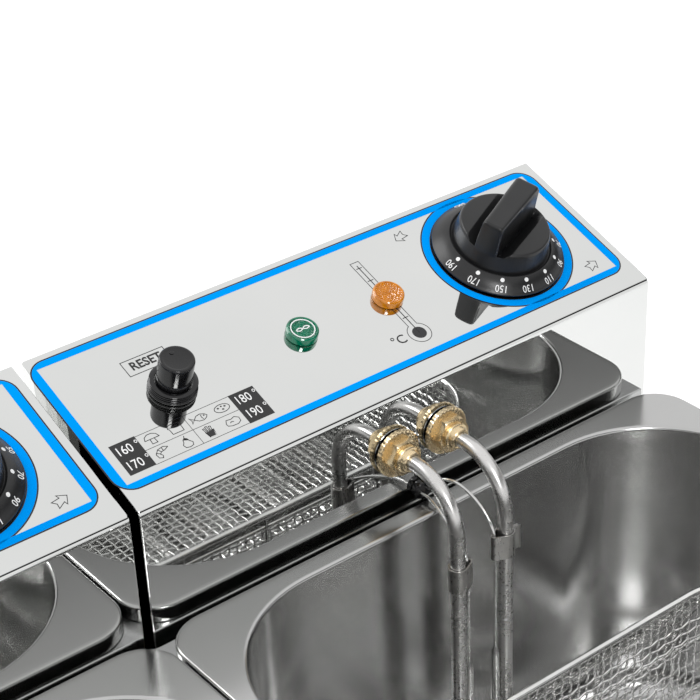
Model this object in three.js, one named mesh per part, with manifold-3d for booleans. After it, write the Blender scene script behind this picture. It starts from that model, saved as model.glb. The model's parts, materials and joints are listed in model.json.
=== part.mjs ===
// Twin-tank countertop electric deep fryer, in millimetres, +Z up, front towards -Y.
// The origin is on the table, under the middle of the outer box.
import * as THREE from "three";
import { mergeVertices } from "three/addons/utils/BufferGeometryUtils.js";
import Module from "manifold-3d";

const wasm = await Module();
wasm.setup();

// ---- Driving dimensions ----
const GAP = 0.3; // between pieces that touch
const SHEET = 1.5;
const PITCH = 274; // from the middle of one unit to the middle of the other
const FRONT_TOP = 235; // height of the bend between a head's front face and its panel

// Body
const BODY = { width: 550, front: -336, rear: 84, bottom: 19, deck: 174.6, shelf: 139.8 };
const STEP = -4.2; // where the deck ends and the step down to the shelf begins
const FOOT = { radius: 15, inset: 32 };
const PEG = { x: 58, y: 40, width: 8, depth: 3, height: 13 };

// Control head. y = 0 is its front face, and +y runs to the rear.
const HEAD = { width: 270, depth: 80.6, bottom: BODY.shelf + 0.7 };
const TILT = THREE.MathUtils.degToRad(20.3); // slope of the panel
const BEND = 4; // radius of the front edge
const ROW = 46.4; // distance of the row of controls up the slope from the front edge
const DIAL = { x: 83.3, skirt: 30, groove: 22, top: 20.4, rim: 16.4, height: 29.8, turn: 24 };
// The grip across the dial: its two ends along it, and half its width at each
const GRIP = { front: -19.5, rear: 17.5, frontHalf: 5.1, rearHalf: 5.9 };
const RESET = { x: -89.4, collar: 10.3, cap: 7.3, height: 17 };
const LAMP = { radius: 7, height: 3.9, barrel: 5, green: -25.9, amber: 19.9 };

// Tank. The turned-down edge of its flange rests on the deck.
const TANK = { width: 258, rear: -15.5, front: -321, corner: 58, floor: 32, sheet: 1.2 };
const FLANGE = { width: 273.2, rear: -5.5, front: -331, corner: 18, bottom: 174.9, top: 182 };

// Heating element: one bent tube that enters the head through two brass fittings.
const TUBE = { radius: 3.25, side: 13, height: 208.8, drop: -39, bend: 24, loop: 45, turn: 20 };
const LOOP = { near: -62, far: -262, cross: -292, inner: 57, outer: 99 };
const FITTING = { disc: 10.8, hex: 8.4, collar: 6, shank: 5, seat: 1.3 };
const WIRE = 0.75; // radius of a capillary
const BULB = { radius: 2, top: 118, bottom: 62 };
const GROMMET = { x: -0.5, z: 185, radius: 4.5, neck: 3.8 };

// Frying basket
const BASKET = { width: 228, rear: -84, front: -284, corner: 38, bottom: 49.2, top: 138 };
const HANDLE = { rod: 3, spread: 25, grip: 102, width: 34, height: 14, front: -455, level: 214 };

const GLAND = { x: 100, z: 166, radius: 8.5, rear: 95 };
const FACE_Y = -(HANDLE.front + GLAND.rear) / 2; // puts the origin under the middle of the box

// ---- Materials ----
const material = (color, roughness, metalness) =>
  new THREE.MeshStandardMaterial({ color, roughness, metalness });
const mirrorSteel = material(0xd8dad8, 0.08, 1);
const satinSteel = material(0xa9abac, 0.32, 1);
const tubeSteel = material(0x9d9c98, 0.3, 1);
const wireSteel = material(0xb8babc, 0.2, 1);
const brass = material(0xc9a45c, 0.3, 1);
const blackPlastic = material(0x2a2b2d, 0.42, 0);
const rubber = material(0x17181a, 0.35, 0);
const greenLens = material(0x1f9d72, 0.15, 0);
const amberLens = material(0xe08a1e, 0.15, 0);
const whitePlastic = material(0xd9d6cc, 0.5, 0);

// ---- Solids ----
function solid(geometry) {
  const bare = geometry.index ? geometry.toNonIndexed() : geometry;
  bare.deleteAttribute("normal");
  bare.deleteAttribute("uv");
  const merged = mergeVertices(bare, 1e-4);
  return new wasm.Manifold(
    new wasm.Mesh({
      numProp: 3,
      vertProperties: new Float32Array(merged.attributes.position.array),
      triVerts: new Uint32Array(merged.index.array),
    }),
  );
}

function geometryOf(made) {
  const { vertProperties, triVerts } = made.getMesh();
  return new THREE.BufferGeometry()
    .setAttribute("position", new THREE.BufferAttribute(vertProperties, 3))
    .setIndex(new THREE.BufferAttribute(triVerts, 1));
}

// A box between two corners.
function box(x0, x1, y0, y1, z0, z1) {
  const geometry = new THREE.BoxGeometry(x1 - x0, y1 - y0, z1 - z0);
  return solid(geometry.translate((x0 + x1) / 2, (y0 + y1) / 2, (z0 + z1) / 2));
}

// A rod along +Z from z0 to z1.
function rod(radius, z0, z1, x = 0, y = 0, sides = 16) {
  const geometry = new THREE.CylinderGeometry(radius, radius, z1 - z0, sides);
  return solid(geometry.rotateX(Math.PI / 2).translate(x, y, (z0 + z1) / 2));
}

// A rod along Y from y0 to y1.
function rodY(radius, y0, y1, x, z, sides = 16) {
  const geometry = new THREE.CylinderGeometry(radius, radius, y1 - y0, sides);
  return solid(geometry.translate(x, (y0 + y1) / 2, z));
}

// A profile of [radius, height] points turned round the Z axis.
function turned(points, sides = 20) {
  const profile = points.map(([radius, height]) => new THREE.Vector2(radius, height));
  return solid(new THREE.LatheGeometry(profile, sides).rotateX(Math.PI / 2));
}

// A rounded rectangle in plan, from z0 to z1.
function slab(x0, x1, y0, y1, corner, z0, z1, segments = 3) {
  const shape = new THREE.Shape();
  shape.moveTo(x0 + corner, y0);
  shape.lineTo(x1 - corner, y0);
  shape.absarc(x1 - corner, y0 + corner, corner, -Math.PI / 2, 0);
  shape.lineTo(x1, y1 - corner);
  shape.absarc(x1 - corner, y1 - corner, corner, 0, Math.PI / 2);
  shape.lineTo(x0 + corner, y1);
  shape.absarc(x0 + corner, y1 - corner, corner, Math.PI / 2, Math.PI);
  shape.lineTo(x0, y0 + corner);
  shape.absarc(x0 + corner, y0 + corner, corner, Math.PI, 1.5 * Math.PI);
  const options = { depth: z1 - z0, bevelEnabled: false, curveSegments: segments };
  return solid(new THREE.ExtrudeGeometry(shape, options).translate(0, 0, z0));
}

// A path through corner points, rounded by one radius or by a radius for each corner.
// Its stops are the ends of the straight runs and the steps of the arcs.
class BentPath extends THREE.Curve {
  constructor(corners, radii, steps) {
    super();
    this.stops = [corners[0]];
    for (let i = 1; i < corners.length - 1; i++) {
      const radius = radii[i - 1] ?? radii;
      const back = corners[i - 1].clone().sub(corners[i]).normalize();
      const on = corners[i + 1].clone().sub(corners[i]).normalize();
      const half = back.angleTo(on) / 2;
      const reach = radius / Math.tan(half);
      const middle = back.clone().add(on).normalize();
      const centre = corners[i].clone().addScaledVector(middle, radius / Math.sin(half));
      const start = corners[i].clone().addScaledVector(back, reach).sub(centre);
      const axis = start.clone().cross(back).normalize();
      for (let k = 0; k <= steps; k++) {
        const angle = (-k / steps) * (Math.PI - 2 * half);
        this.stops.push(start.clone().applyAxisAngle(axis, angle).add(centre));
      }
    }
    this.stops.push(corners[corners.length - 1]);
  }
  getPoint(t, target = new THREE.Vector3()) {
    const last = this.stops.length - 1;
    const place = Math.min(t * last, last);
    const i = Math.min(Math.floor(place + 1e-9), last - 1);
    return target.lerpVectors(this.stops[i], this.stops[i + 1], place - i);
  }
  getPointAt(u, target) {
    return this.getPoint(u, target);
  }
  getTangentAt(u, target = new THREE.Vector3()) {
    const last = this.stops.length - 1;
    const i = Math.round(u * last);
    const before = this.stops[Math.max(i - 1, 0)];
    const here = this.stops[i];
    const after = this.stops[Math.min(i + 1, last)];
    const way = here.clone().sub(before).normalize();
    return target.copy(after).sub(here).normalize().add(way).normalize();
  }
}

// A round tube along a bent path.
function tube(points, bends, radius, sides = 8, steps = 3) {
  const path = new BentPath(points.map((p) => new THREE.Vector3(...p)), bends, steps);
  const section = new THREE.Shape().absarc(0, 0, radius, 0, 2 * Math.PI);
  return solid(
    new THREE.ExtrudeGeometry(section, {
      extrudePath: path,
      steps: path.stops.length - 1,
      curveSegments: sides / 2,
      bevelEnabled: false,
    }),
  );
}

function piece(name, made, look, parent) {
  const mesh = new THREE.Mesh(geometryOf(made), look);
  mesh.name = name;
  parent.add(mesh);
}

// ---- Body ----
function bodyShell() {
  const half = BODY.width / 2;
  const inner = half - SHEET;
  const outside = box(-half, half, BODY.front, STEP, BODY.bottom, BODY.deck)
    .add(box(-half, half, STEP - SHEET, BODY.rear, BODY.bottom, BODY.shelf));
  const front = BODY.front + SHEET;
  const rear = BODY.rear - SHEET;
  let shell = outside
    .subtract(box(-inner, inner, front, STEP - SHEET, 0, BODY.deck - SHEET))
    .subtract(box(-inner, inner, front, rear, 0, BODY.shelf - SHEET));
  const clear = TANK.sheet + 1.3;
  for (const side of [-1, 1]) {
    const middle = (side * PITCH) / 2;
    const reach = TANK.width / 2 + clear;
    shell = shell
      .subtract(
        slab(middle - reach, middle + reach, TANK.front - clear, TANK.rear + clear,
          TANK.corner + clear, 170, 190),
      )
      .add(
        box(middle + PEG.x, middle + PEG.x + PEG.width, PEG.y, PEG.y + PEG.depth,
          BODY.shelf - SHEET, BODY.shelf + PEG.height),
      );
  }
  return shell;
}

function basePlate() {
  const inner = BODY.width / 2 - SHEET - GAP;
  let plate = box(-inner, inner, BODY.front + SHEET + GAP, BODY.rear - SHEET - GAP, 20, 21.5);
  for (let row = 0; row < 5; row++)
    for (const side of [-1, 1]) {
      const x = side * (PITCH / 2);
      plate = plate.subtract(box(x - 45, x + 45, 10 + 12 * row, 14 + 12 * row, 0, 30));
    }
  return plate;
}

function addBody(parent) {
  piece("body_shell", bodyShell(), satinSteel, parent);
  piece("base_plate", basePlate(), satinSteel, parent);
  for (const [end, y] of [["front", BODY.front + FOOT.inset], ["rear", BODY.rear - FOOT.inset]])
    for (const [side, sign] of [["left", -1], ["right", 1]]) {
      const x = sign * (BODY.width / 2 - FOOT.inset);
      const foot = rod(FOOT.radius, 0, 20 - GAP, x, y);
      piece(`foot_${end}_${side}`, foot, rubber, parent);
    }
}

// ---- Tank ----
function tank() {
  const half = TANK.width / 2;
  const t = TANK.sheet;
  const wide = FLANGE.width / 2;
  const { front, rear, corner, bottom, top } = FLANGE;
  const flange = slab(-wide, wide, front, rear, corner, bottom, top).subtract(
    slab(-wide + t, wide - t, front + t, rear - t, corner - t, bottom - 1, top - t),
  );
  return slab(-half - t, half + t, TANK.front - t, TANK.rear + t, TANK.corner + t,
    TANK.floor, top - 0.5)
    .add(flange)
    .subtract(
      slab(-half, half, TANK.front, TANK.rear, TANK.corner, TANK.floor + t, top + 5),
    );
}

// ---- Head casing ----
// The side view of the casing between its front face and rear edge, in from its outside.
function headProfile(inset, rear, bottom) {
  const rise = Math.tan(TILT);
  const lift = inset / Math.cos(TILT);
  const top = (y) => FRONT_TOP + y * rise - lift;
  const bend = BEND - inset;
  const reach = bend * Math.tan(Math.PI / 4 - TILT / 2);
  const centreY = inset + bend;
  const centreZ = top(inset) - reach;
  const shape = new THREE.Shape();
  shape.moveTo(inset, bottom);
  shape.lineTo(inset, centreZ);
  shape.absarc(centreY, centreZ, bend, Math.PI, Math.PI / 2 + TILT, true);
  shape.lineTo(rear, top(rear));
  shape.lineTo(rear, bottom);
  return shape;
}

function extrudeX(shape, width) {
  const options = { depth: width, bevelEnabled: false, curveSegments: 3 };
  const geometry = new THREE.ExtrudeGeometry(shape, options).translate(0, 0, -width / 2);
  // The shape's own x and y become y and z, and its depth becomes x.
  const turn = new THREE.Matrix4().makeBasis(
    new THREE.Vector3(0, 1, 0), new THREE.Vector3(0, 0, 1), new THREE.Vector3(1, 0, 0),
  );
  return solid(geometry.applyMatrix4(turn));
}

// Moves a solid made on the panel (x along, y up the slope, z out of it) to its place.
function onPanel(made) {
  const place = new THREE.Matrix4().makeRotationX(TILT).setPosition(0, 0, FRONT_TOP);
  return solid(geometryOf(made).applyMatrix4(place));
}

function headCase() {
  let casing = extrudeX(headProfile(0, HEAD.depth, HEAD.bottom), HEAD.width)
    .subtract(extrudeX(headProfile(SHEET, HEAD.depth + 10, 0), HEAD.width - 2 * SHEET));
  const holes = [[DIAL.x, 5.5], [RESET.x, 5.2], [LAMP.green, 5.3], [LAMP.amber, 5.3]];
  for (const [x, radius] of holes)
    casing = casing.subtract(onPanel(rod(radius, -8, 8, x, ROW)));
  for (const side of [-1, 1])
    casing = casing.subtract(rodY(FITTING.shank + 0.4, -5, 5, side * TUBE.side, TUBE.height));
  return casing.subtract(rodY(GROMMET.neck + GAP, -5, 5, GROMMET.x, GROMMET.z));
}

function headBase() {
  const half = HEAD.width / 2 - SHEET - GAP;
  const bottom = HEAD.bottom;
  let plate = box(-half, half, SHEET + GAP, HEAD.depth - SHEET - GAP, bottom, bottom + SHEET);
  plate = plate.subtract(
    box(PEG.x - 1.5, PEG.x + PEG.width + 1.5, PEG.y - 1.5, PEG.y + PEG.depth + 1.5, 0, 200),
  );
  for (let row = 0; row < 4; row++)
    plate = plate.subtract(box(-110, -50, 20 + 12 * row, 24 + 12 * row, 0, 200));
  return plate;
}

function headRearCover() {
  const half = HEAD.width / 2 - SHEET - GAP;
  const rear = HEAD.depth;
  const front = rear - SHEET;
  const top = FRONT_TOP + front * Math.tan(TILT) - SHEET / Math.cos(TILT) - GAP;
  let cover = box(-half, half, front, rear, HEAD.bottom + SHEET + GAP, top)
    .subtract(rodY(6.6, front - 5, rear + 5, GLAND.x, GLAND.z));
  for (let row = 0; row < 5; row++)
    cover = cover.subtract(box(-105, -45, front - 5, rear + 5, 190 + 10 * row, 194 + 10 * row));
  return cover;
}

// ---- Controls on the panel ----
function dial() {
  const { skirt, groove, top, rim, height, turn } = DIAL;
  const body = turned([
    [0, 15], [3.4, 15], [3.4, 0.6], [skirt - 1, 0.6], [skirt, 1.4], [groove + 1, 7],
    [groove + 0.2, 6], [groove - 0.4, 7], [top + 0.4, rim - 1], [top - 0.6, rim], [0, rim],
  ], 32);
  const plan = new THREE.Shape();
  plan.moveTo(GRIP.front, -GRIP.frontHalf);
  plan.lineTo(GRIP.rear, -GRIP.rearHalf);
  plan.lineTo(GRIP.rear, GRIP.rearHalf);
  plan.lineTo(GRIP.front, GRIP.frontHalf);
  const sunk = 2; // how far the grip runs down into the drum
  const options = { depth: height - rim + sunk, bevelEnabled: false };
  const grip = new THREE.ExtrudeGeometry(plan, options)
    .translate(0, 0, rim - sunk)
    .rotateZ(THREE.MathUtils.degToRad(turn));
  return body.add(solid(grip)).translate([DIAL.x, ROW, 0]);
}

function thermostat() {
  return box(-19, 19, -16, 16, -34, -SHEET - GAP)
    .add(rod(4.8, -5, -GAP))
    .add(rod(3, -5, 14))
    .translate([DIAL.x, ROW, 0]);
}

function resetCollar() {
  const { collar, cap } = RESET;
  const bore = cap + 0.5;
  return turned([
    [bore, GAP], [collar - 1.2, GAP], [collar - 0.4, 1.2], [collar - 1.2, 2.2],
    [collar, 3.2], [collar, 4.2], [collar - 1, 5], [bore, 5], [bore, GAP],
  ]).translate([RESET.x, ROW, 0]);
}

function resetCap() {
  const { cap, height } = RESET;
  return turned([
    [0, 12], [2.7, 12], [2.7, 3.4], [cap, 3.4], [cap, height - 0.6], [cap - 0.8, height],
    [0, height],
  ]).translate([RESET.x, ROW, 0]);
}

function limiter() {
  return rod(10, -24, -SHEET - GAP)
    .add(rod(4.8, -5, 1))
    .add(rod(2.2, 0, 8.5))
    .translate([RESET.x, ROW, 0]);
}

function lamp(x) {
  const { radius, height, barrel } = LAMP;
  return turned([
    [0, -16], [barrel, -16], [barrel, GAP], [radius, GAP], [radius, height - 1],
    [radius - 0.8, height], [0, height],
  ]).translate([x, ROW, 0]);
}

// ---- Heating element and what is clipped to it ----
// One tube: in through the left fitting, down the rear of the tank, in four runs over
// the tank floor and back up to the right fitting.
function element() {
  const { side, height, drop, loop } = TUBE;
  const { near, far, cross, inner, outer } = LOOP;
  const left = [
    [-side, 24, height], [-side, drop, height], [-side, drop, loop], [-side, far, loop],
    [-inner, far, loop], [-inner, near, loop], [-outer, near, loop], [-outer, cross, loop],
  ];
  const right = left.map(([x, y, z]) => [-x, y, z]).reverse();
  const corners = [...left, ...right];
  const bends = corners.slice(1, -1).map(([, , z]) => (z === height ? TUBE.bend : TUBE.turn));
  return tube(corners, bends, TUBE.radius);
}

function fitting(side) {
  const { disc, hex, collar, shank, seat } = FITTING;
  const hexagon = new THREE.CylinderGeometry(hex, hex, 5, 6).rotateX(Math.PI / 2);
  const made = turned([
    [0, -9], [shank, -9], [shank, seat], [disc, seat], [disc, seat + 1.7],
    [disc - 0.4, seat + 2.1], [0, seat + 2.1],
  ])
    .add(solid(hexagon.translate(0, 0, seat + 4)))
    .add(turned([[0, 7], [collar, 7], [collar, 9], [collar - 1.4, 12], [0, 12]]))
    .subtract(rod(TUBE.radius + 0.4, -15, 20));
  // Its own axis turns from +Z to -Y.
  const place = new THREE.Matrix4().makeRotationX(Math.PI / 2);
  place.setPosition(side * TUBE.side, 0, TUBE.height);
  return solid(geometryOf(made).applyMatrix4(place));
}

function washer(side) {
  const x = side * TUBE.side;
  return rodY(9.4, GAP - FITTING.seat, -GAP, x, TUBE.height)
    .subtract(rodY(FITTING.shank + GAP, -5, 5, x, TUBE.height));
}

// The outline round a tube at the origin and a thinner one beside it.
function strapShape(large, small, distance) {
  const angle = Math.acos((large - small) / distance);
  const shape = new THREE.Shape();
  shape.absarc(0, 0, large, angle, -angle, false);
  shape.absarc(distance, 0, small, -angle, angle, false);
  return shape;
}

// A strip bent round the element tube and the sensor beside it. beside is how far
// the sensor lies from the tube, to the right or, when negative, to the left.
function clip(x, beside, z0, z1) {
  const distance = Math.abs(beside);
  const cut = (grow, z, depth) =>
    new THREE.ExtrudeGeometry(
      strapShape(TUBE.radius + grow, BULB.radius / 2 + grow, distance),
      { depth, bevelEnabled: false, curveSegments: 4 },
    ).translate(0, 0, z);
  const made = solid(cut(0.9, z0, z1 - z0)).subtract(solid(cut(0.4, z0 - 1, z1 - z0 + 2)));
  return (beside < 0 ? made.rotate([0, 0, 180]) : made).translate([x, TUBE.drop, 0]);
}

// A capillary with its bulb: from inside the head, out through the grommet and down
// along the element.
function sensor(points) {
  const [x, y] = points[points.length - 1];
  return tube(points, 4, WIRE, 6, 2).add(rod(BULB.radius, BULB.bottom, BULB.top, x, y, 8));
}

const beside = TUBE.radius + BULB.radius + GAP;
const thermostatSensor = () => sensor([
  [DIAL.x, 57, 217], [DIAL.x, 57, 196], [1.5, 22, 196], [1.5, 14, GROMMET.z],
  [1.5, -5.5, GROMMET.z], [2.5, -9, 197], [8.4, -30, 194],
  [TUBE.side - beside, TUBE.drop, 180], [TUBE.side - beside, TUBE.drop, BULB.top - 4],
]);
const limiterSensor = () => sensor([
  [RESET.x, 53.5, 224], [RESET.x, 53.5, 203], [-2.5, 24, 203], [-2.5, 14, GROMMET.z],
  [-2.5, -12, GROMMET.z], [beside - TUBE.side, -30, 181],
  [beside - TUBE.side, TUBE.drop, 172], [beside - TUBE.side, TUBE.drop, BULB.top - 4],
]);

function grommet() {
  const { x, z, radius, neck } = GROMMET;
  return rodY(radius, -3.5, -GAP, x, z)
    .add(rodY(neck, -1, 5, x, z))
    .subtract(rodY(WIRE + 0.35, -8, 8, 1.5, z, 8))
    .subtract(rodY(WIRE + 0.35, -8, 8, -2.5, z, 8));
}

// ---- Inside the head ----
function cableGland() {
  const { x, z, radius, rear } = GLAND;
  return rodY(6.2, 74, HEAD.depth + 1, x, z)
    .add(rodY(11, HEAD.depth + GAP, HEAD.depth + 5, x, z, 6))
    .add(rodY(radius, HEAD.depth + 4, rear, x, z))
    .subtract(rodY(3.6, 60, 110, x, z));
}

function terminalBlock() {
  const base = HEAD.bottom + SHEET + GAP;
  let block = box(-30, 24, 50, 70, base, base + 14);
  for (let i = 0; i < 5; i++) {
    const x = -25 + 11 * i;
    block = block.add(rod(3.5, base + 13, base + 18, x, 60, 8));
  }
  return block;
}

function microswitch() {
  const base = HEAD.bottom + SHEET + GAP;
  return box(PEG.x + 14, PEG.x + 42, PEG.y - 4, PEG.y + 6, base, base + 16)
    .add(box(PEG.x - 1, PEG.x + 16, PEG.y - 1, PEG.y + 4, base + 11.4, base + 12.2));
}

// ---- Basket ----
function basket() {
  const half = BASKET.width / 2;
  const { rear, front, corner, bottom, top } = BASKET;
  const rim = 2;
  return slab(-half, half, front, rear, corner, bottom, top)
    .add(slab(-half - rim, half + rim, front - rim, rear + rim, corner + rim, top - 6, top))
    .subtract(
      slab(-half + 1.6, half - 1.6, front + 1.6, rear - 1.6, corner - 1.6, bottom + 1.6, top + 5),
    );
}

function basketHandle() {
  const { rod: radius, spread, level, front } = HANDLE;
  const wall = BASKET.front - 5.6;
  const side = [
    [-spread, wall, 104], [-spread, wall, 190], [-10, -330, level], [-10, front + 6, level],
  ];
  return tube([...side, ...side.map(([x, y, z]) => [-x, y, z]).reverse()], 8, radius);
}

function basketGrip() {
  const { width, height, grip, front, level } = HANDLE;
  const half = width / 2;
  return slab(-half, half, front, front + grip, 12, level - height / 2, level + height / 2, 2)
    .subtract(box(-13.6, 13.6, front + 2.5, front + grip + 5, level - 3.6, level + 3.6));
}

// ---- Assembly ----
function addUnit(parent, side, sign) {
  const unit = new THREE.Group();
  unit.position.x = (sign * PITCH) / 2;
  parent.add(unit);
  const add = (name, made, look, to = unit) => piece(`${name}_${side}`, made, look, to);

  add("tank", tank(), satinSteel);
  add("head_case", headCase(), mirrorSteel);
  add("head_base", headBase(), satinSteel);
  add("head_rear_cover", headRearCover(), satinSteel);

  const panel = new THREE.Group();
  panel.position.z = FRONT_TOP;
  panel.rotation.x = TILT;
  unit.add(panel);
  add("dial", dial(), blackPlastic, panel);
  add("thermostat", thermostat(), whitePlastic, panel);
  add("reset_collar", resetCollar(), rubber, panel);
  add("reset_cap", resetCap(), rubber, panel);
  add("limiter", limiter(), whitePlastic, panel);
  add("lamp_green", lamp(LAMP.green), greenLens, panel);
  add("lamp_amber", lamp(LAMP.amber), amberLens, panel);

  add("element", element(), tubeSteel);
  for (const [end, at] of [["a", -1], ["b", 1]]) {
    add(`fitting_${end}`, fitting(at), brass);
    add(`washer_${end}`, washer(at), rubber);
  }
  add("thermostat_sensor", thermostatSensor(), wireSteel);
  add("limiter_sensor", limiterSensor(), wireSteel);
  add("clip_a", clip(-TUBE.side, beside, 160, 171.5), satinSteel);
  add("clip_b", clip(TUBE.side, -beside, 165.5, 177), satinSteel);
  add("sensor_grommet", grommet(), rubber);
  add("cable_gland", cableGland(), blackPlastic);
  add("terminal_block", terminalBlock(), whitePlastic);
  add("microswitch", microswitch(), blackPlastic);

  add("basket", basket(), wireSteel);
  add("basket_handle", basketHandle(), wireSteel);
  add("basket_grip", basketGrip(), blackPlastic);
}

const fryer = new THREE.Group();
fryer.position.y = FACE_Y;
addBody(fryer);
addUnit(fryer, "left", -1);
addUnit(fryer, "right", 1);

export default fryer;
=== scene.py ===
# Twin-tank countertop deep fryer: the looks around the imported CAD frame.
# Builders work in millimetres in a unit's own frame: x from the unit's middle, y from the
# front face of its control head towards the rear, z up from the table.
import json
import math

import bmesh
import bpy
from mathutils import Matrix, Vector


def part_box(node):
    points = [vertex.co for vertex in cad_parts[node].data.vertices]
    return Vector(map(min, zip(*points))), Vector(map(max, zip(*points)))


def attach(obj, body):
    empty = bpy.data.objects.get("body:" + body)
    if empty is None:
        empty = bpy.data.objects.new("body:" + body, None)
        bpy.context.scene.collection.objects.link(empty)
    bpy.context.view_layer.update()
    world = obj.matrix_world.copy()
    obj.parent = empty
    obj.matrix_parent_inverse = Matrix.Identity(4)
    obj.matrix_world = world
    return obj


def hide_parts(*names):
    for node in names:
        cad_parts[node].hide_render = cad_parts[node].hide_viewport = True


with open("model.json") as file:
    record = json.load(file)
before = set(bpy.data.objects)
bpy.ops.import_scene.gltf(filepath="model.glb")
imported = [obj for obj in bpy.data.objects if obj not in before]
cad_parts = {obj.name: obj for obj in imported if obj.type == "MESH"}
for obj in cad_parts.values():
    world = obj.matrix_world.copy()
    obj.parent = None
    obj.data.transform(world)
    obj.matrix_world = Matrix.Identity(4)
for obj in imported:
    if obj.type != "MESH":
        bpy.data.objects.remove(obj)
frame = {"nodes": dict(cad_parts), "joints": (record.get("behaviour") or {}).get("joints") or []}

scene = bpy.context.scene
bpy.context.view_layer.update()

# ---- Camera ----
CAMERA_PLACE = (-0.2785, -0.3293, 0.6393)
CAMERA_RIGHT = (0.78441, -0.61886, -0.04132)
CAMERA_UP = (0.34204, 0.37603, 0.86117)
LENS, SENSOR = 96.99, 36.0


def link(name, data):
    made = bpy.data.objects.new(name, data)
    scene.collection.objects.link(made)
    return made


camera = link("camera", bpy.data.cameras.new("camera"))
back = Vector(CAMERA_RIGHT).cross(Vector(CAMERA_UP))
camera.matrix_world = Matrix.Translation(CAMERA_PLACE) @ Matrix(
    (CAMERA_RIGHT, CAMERA_UP, back)).transposed().to_4x4()
camera.data.lens, camera.data.sensor_width = LENS, SENSOR
scene.camera = camera
scene.view_settings.view_transform = "Standard"

# ---- Where the CAD says the units are ----
MM = 0.001
TILT = math.radians(20.3)  # slope of the control panel
SIDES = ("left", "right")


def middle(node):
    low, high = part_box(node)
    return (low + high) / 2


UNIT_X = {side: middle(f"head_case_{side}").x for side in SIDES}
FACE_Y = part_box("head_case_right")[0].y
ORIGIN = Vector((UNIT_X["right"], FACE_Y, 0))


def span(node):
    """The box of the right unit's node in its own frame, in millimetres."""
    low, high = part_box(f"{node}_right")
    return (low - ORIGIN) / MM, (high - ORIGIN) / MM


HEAD_LOW, HEAD_HIGH = span("head_case")
FRONT_TOP = HEAD_HIGH.z - HEAD_HIGH.y * math.tan(TILT)
PANEL = Matrix.Translation((0, 0, FRONT_TOP)) @ Matrix.Rotation(TILT, 4, "X")
FROM_PANEL = PANEL.inverted()


def on_panel(node):
    """Panel coordinates (along, up the slope) of a round node's axis."""
    low, high = span(node)
    at = FROM_PANEL @ ((low + high) / 2)
    return at.x, at.y


def turned_at(joint):
    """Panel coordinates of a hinge's axis."""
    place = next(j["pos_m"] for j in frame["joints"] if j["name"] == joint)
    at = FROM_PANEL @ ((Vector(place) - ORIGIN) / MM)
    return at.x, at.y


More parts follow.
